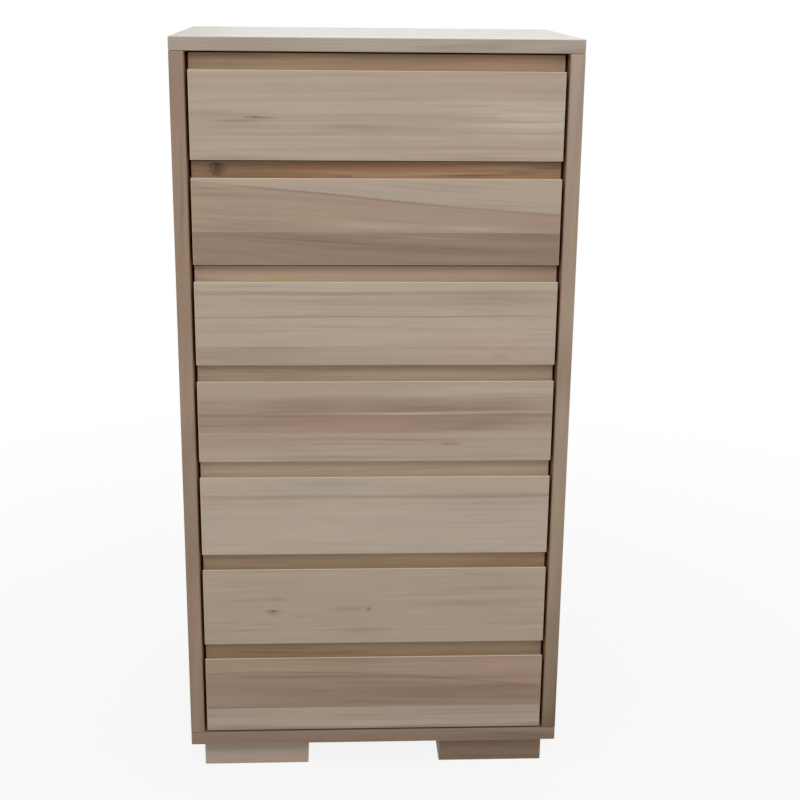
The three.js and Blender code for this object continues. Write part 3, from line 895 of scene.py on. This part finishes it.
strip_marks = {
    1: dict(patches=[
        (-235, 142, 60, 12, (140, 119, 92), 0.8),
        (-120, 149, 40, 3, (184, 138, 90), 0.8),
        (-110, 143, 170, 4, (181, 153, 120), 0.5),
        (10, 136, 60, 6, (150, 122, 92), 0.5),
        (170, 141, 110, 10, (180, 143, 118), 0.65),
    ]),
    2: dict(
        patches=[
            (-150, 141, 150, 40, (120, 92, 66), 0.65),
            (190, 141, 120, 40, (180, 143, 112), 0.6),
            (85, 135, 50, 5, (190, 158, 130), 0.7),
            (-262, 142, 30, 14, (142, 108, 88), 0.7),
            (-202, 142, 22, 12, (122, 99, 70), 0.6),
            (-95, 146, 110, 7, (152, 106, 66), 0.8),
            (-20, 134, 75, 5, (178, 146, 122), 0.9),
            (60, 147, 90, 6, (154, 110, 74), 0.8),
            (-48, 131, 14, 1.4, (104, 64, 50), 0.9),
            (130, 133, 60, 1.8, (104, 76, 52), 0.9),
            (215, 137, 28, 3, (112, 88, 58), 0.9),
            (255, 142, 28, 4, (118, 94, 64), 0.9),
            (240, 148.5, 40, 2.5, (140, 104, 90), 0.8),
            (-236, 141, 11, 9, (88, 56, 16), 1.0),
        ],
        knots=[(-236, 140.5, 10, 9, 2.4, 1.8, 1.7)],
    ),
    # Strip 3 is darker along its top edge: a painted shadow under the face above
    3: dict(joint_dust_and_shade=[(1, 151.5, 2.2, 0.8)], patches=[
        (-144, 133, 34, 6, (172, 162, 117), 0.7),
        (40, 140, 90, 12, (187, 156, 138), 0.6),
        (-230, 140, 60, 12, (181, 149, 130), 0.5),
        (250, 142, 60, 12, (163, 127, 108), 0.6),
    ]),
    4: dict(patches=[(180, 133, 60, 6, (176, 159, 123), 0.7)]),
    6: dict(patches=[
        (215, 142, 75, 30, (146, 118, 88), 0.7),
        (-180, 143, 50, 8, (162, 132, 114), 0.5),
        (150, 142, 50, 7, (170, 134, 106), 0.6),
    ]),
    7: dict(patches=[
        (-200, 142, 90, 30, (146, 118, 88), 0.7),
        (-55, 132, 60, 3, (132, 88, 65), 0.6),
        (-190, 133, 60, 2.4, (150, 100, 56), 0.9),
        (10, 139, 80, 5, (164, 132, 108), 0.5),
    ]),
}


def face_board(count):
    """The face board of one drawer: its section, with the finger bevel behind, run from end to end."""
    low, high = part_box(f"drawer_{count}_front")
    section = [
        (0, 0),
        (face_thickness, 0),
        (face_thickness, face_height - (face_thickness - pull_land)),
        (pull_land, face_height),
        (0, face_height),
    ]
    work = bmesh.new()
    ends = [
        [work.verts.new((x, low.y + y, low.z + z)) for y, z in section]
        for x in (low.x, high.x)
    ]
    for first in range(len(section)):
        second = (first + 1) % len(section)
        work.faces.new((ends[0][first], ends[0][second], ends[1][second], ends[1][first]))
    work.faces.new(ends[0])
    work.faces.new(ends[1])
    bmesh.ops.recalc_face_normals(work, faces=work.faces[:])
    name = f"drawer_{count}_face_board"
    return piece_from(finished_mesh(work, name), name, face_arris, arris_facets)


def backing_board(count):
    """The backing board of one drawer: the CAD front behind the glue line, with its dovetail sockets."""
    name = f"drawer_{count}_backing_board"
    work = joined_up(f"drawer_{count}_front")
    glue_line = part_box(f"drawer_{count}_front")[0].y + face_thickness + glue_gap
    cut = bmesh.ops.bisect_plane(
        work, geom=work.verts[:] + work.edges[:] + work.faces[:], plane_co=(0, glue_line, 0),
        plane_no=(0, -1, 0), clear_outer=True,
    )
    rim = [part for part in cut["geom_cut"] if isinstance(part, bmesh.types.BMEdge)]
    bmesh.ops.holes_fill(work, edges=rim)
    bmesh.ops.recalc_face_normals(work, faces=work.faces[:])
    return piece_from(finished_mesh(work, name), name)


for count in drawer_numbers:
    body = f"drawer_{count}"
    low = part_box(f"{body}_front")[0] * mm
    # A face's arrises are paler, partly sanding wear and partly a painted highlight, and its upper land is
    # a painted highlight
    face_timber = timber(
        f"{body}_face_timber", "XZY", (0, low.z, low.y), ring=4.8, sanding_and_highlight=0.8, edge_highlight=0.5,
        **face_figure[count],
    )
    face = face_board(count)
    fit_piece(face, face_timber, body, "face_timber", f"{body}_front")
    strip_timber = timber(
        f"{body}_strip_timber", "XZY", (0, low.z, low.y), (60 + 9 * count, 90), strip_tones[count],
        ring=4.4, seed=80.0 + count, lean=(0.02 * (count % 3 - 1), 0.04), drift=0.6,
        **strip_marks.get(count, {}),
    )
    backing = backing_board(count)
    fit_piece(backing, strip_timber, body, "face_timber", f"{body}_front")


# Floor: a plain white sheet, wide enough to have no edge in sight. The camera, reflections and
# anything clear see it white from a little way off, and round the chest it keeps the soft shadow.

sheet_radius = 14.0
sheet_sides = 64
sheet_tone = shade(195, 195, 195)
white = (1, 1, 1, 1)
shadow_reach = 0.3
white_from = 2.2
near_white = 0.88


def looked_at(workings):
    """1 for the camera, reflections and anything clear, and 0 for the light that falls on the chest."""
    rays = ("Is Camera Ray", "Is Glossy Ray", "Is Transmission Ray")
    camera_ray, glossy_ray, clear_ray = workings.node("ShaderNodeLightPath", {}, {}, rays)
    return camera_ray.larger(glossy_ray).larger(clear_ray)


stage_finish = Finish("white_sheet")
spot = stage_finish.node("ShaderNodeTexCoord", {}, {}, "Object")
distance = stage_finish.node("ShaderNodeVectorMath", {"operation": "LENGTH"}, {"Vector": spot}, "Value")
whiteness = stage_finish.rise(distance, shadow_reach, white_from) * (1 - near_white) + near_white
paper = stage_finish.node("ShaderNodeBsdfDiffuse", {}, {"Color": sheet_tone})
glow = stage_finish.node("ShaderNodeEmission", {}, {"Color": white, "Strength": 1.0})
shown = looked_at(stage_finish) * whiteness
sheet = stage_finish.node("ShaderNodeMixShader", {}, {0: shown, 1: paper, 2: glow})
stage_finish.node("ShaderNodeOutputMaterial", {}, {"Surface": sheet})

floor_mesh = bpy.data.meshes.new("floor")
turns = [2 * math.pi * side / sheet_sides for side in range(sheet_sides)]
rim = [(sheet_radius * math.cos(turn), sheet_radius * math.sin(turn), 0) for turn in turns]
floor_mesh.from_pydata(rim, [], [range(sheet_sides)])
floor_mesh.materials.append(stage_finish.material)
placed("floor", floor_mesh)


# Light: an even pale surround, a wide soft lamp above the front, and weaker ones above the top and
# the back, so that a colour renders about as it is written and each face darkens towards the floor.

room_strength = 0.64

world = bpy.data.worlds.new("studio")
bpy.context.scene.world = world
world.use_nodes = True
surround = Workings(world.node_tree)
pale_room = surround.node("ShaderNodeBackground", {}, {"Color": white, "Strength": room_strength})
white_room = surround.node("ShaderNodeBackground", {}, {"Color": white, "Strength": 1.0})
room = surround.node("ShaderNodeMixShader", {}, {0: looked_at(surround), 1: pale_room, 2: white_room})
surround.node("ShaderNodeOutputWorld", {}, {"Surface": room})


def lamp(name, place, aim, size, power):
    """A soft rectangular lamp at a place, turned to what it lights."""
    light = bpy.data.lights.new(name, "AREA")
    light.shape = "RECTANGLE"
    light.size = size[0]
    light.size_y = size[1]
    light.energy = power
    held = placed(name, light)
    held.location = place
    away = Vector(place) - Vector(aim)
    held.rotation_euler = away.to_track_quat("Z", "Y").to_euler()


lamp("front_lamp", place=(-0.4, -2.4, 2.8), aim=(0, -0.2, 0.55), size=(2.4, 1.4), power=48.0)
lamp("top_lamp", place=(0.2, 0.1, 3.1), aim=(0, 0, 1.1), size=(2.4, 2.4), power=8.0)
lamp("back_lamp", place=(0.6, 2.8, 2.6), aim=(0, 0.2, 0.6), size=(2.4, 1.4), power=20.0)


# Camera: a little above the chest, looking down at its front, almost square on. Its lens and its
# place give the case's corners and the drawers' edges the places that they have in the photograph.

camera = placed("camera", bpy.data.cameras.new("camera"))
bpy.context.scene.camera = camera
camera.data.sensor_width = 36.0
camera.data.lens = 64.485
pitch = math.radians(16.503)
yaw = math.radians(2.949)
roll = math.radians(-0.632)
camera.location = (-0.0722, -2.3108, 1.2639)
camera.rotation_mode = "QUATERNION"
tilted = Matrix.Rotation(math.pi / 2 - pitch, 3, "X") @ Matrix.Rotation(-roll, 3, "Z")
turn = Matrix.Rotation(-yaw, 3, "Z") @ tilted
camera.rotation_quaternion = turn.to_quaternion()

bpy.context.scene.view_settings.view_transform = "Standard"
